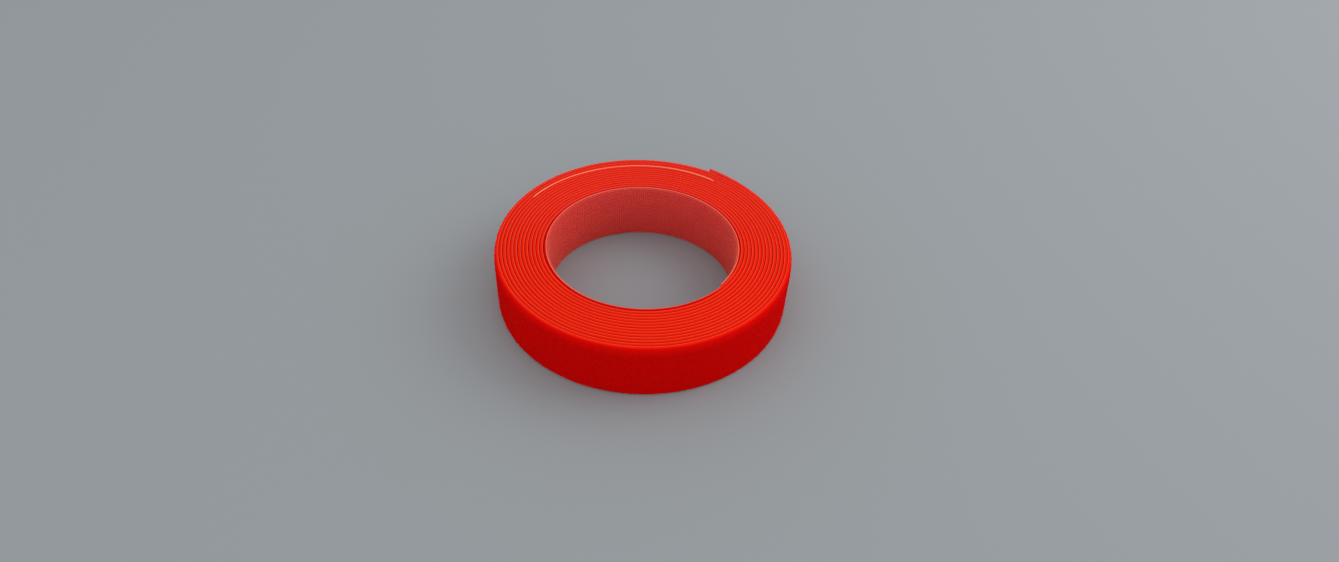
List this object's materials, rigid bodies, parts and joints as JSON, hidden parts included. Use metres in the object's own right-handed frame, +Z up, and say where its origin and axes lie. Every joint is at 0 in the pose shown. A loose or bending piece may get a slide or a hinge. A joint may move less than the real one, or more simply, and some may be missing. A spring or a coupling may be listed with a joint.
{
  "type": "hook and loop tape roll",
  "caption": "Coreless roll of back-to-back hook and loop tape, wound hooks inward and loops outward, lying on its edge faces, with a free end that peels off the roll.",
  "frame": {"origin": "under the middle of the roll's box, on the plane that the roll lies on", "axes": "+Z up along the winding axis, which is the tape's width; +X to the right and +Y away, as the pictured view looks along +Y"},
  "size_m": [0.1152, 0.11, 0.025],
  "materials": {
    "hook_film": "moulded satin film with rows of fine hooks",
    "loop_fabric": "knitted nylon with a combed, matte loop pile"
  },
  "bodies": {
    "roll": {"hook_film": "hook_film", "loop_fabric": "loop_fabric"},
    "tail_1": {"tail_1_hook_film": "hook_film", "tail_1_loop_fabric": "loop_fabric"},
    "tail_2": {"tail_2_hook_film": "hook_film", "tail_2_loop_fabric": "loop_fabric"},
    "tail_3": {"tail_3_hook_film": "hook_film", "tail_3_loop_fabric": "loop_fabric"},
    "tail_4": {"tail_4_hook_film": "hook_film", "tail_4_loop_fabric": "loop_fabric"}
  },
  "joints": [
    {"name": "peel_1", "type": "hinge", "parent": "roll", "child": "tail_1", "pos_m": [0.05518, 0.01733, 0.0125], "axis": [0, 0, -1], "range_deg": [0, 30]},
    {"name": "peel_2", "type": "hinge", "parent": "tail_1", "child": "tail_2", "pos_m": [0.05073, 0.02751, 0.0125], "axis": [0, 0, -1], "range_deg": [0, 30]},
    {"name": "peel_3", "type": "hinge", "parent": "tail_2", "child": "tail_3", "pos_m": [0.0444, 0.03659, 0.0125], "axis": [0, 0, -1], "range_deg": [0, 30]},
    {"name": "peel_4", "type": "hinge", "parent": "tail_3", "child": "tail_4", "pos_m": [0.0366, 0.04439, 0.0125], "axis": [0, 0, -1], "range_deg": [0, 30]}
  ],
  "couplings": [
    {"joint": "peel_2", "follows": "peel_1", "ratio": 1},
    {"joint": "peel_3", "follows": "peel_1", "ratio": 1},
    {"joint": "peel_4", "follows": "peel_1", "ratio": 1}
  ]
}
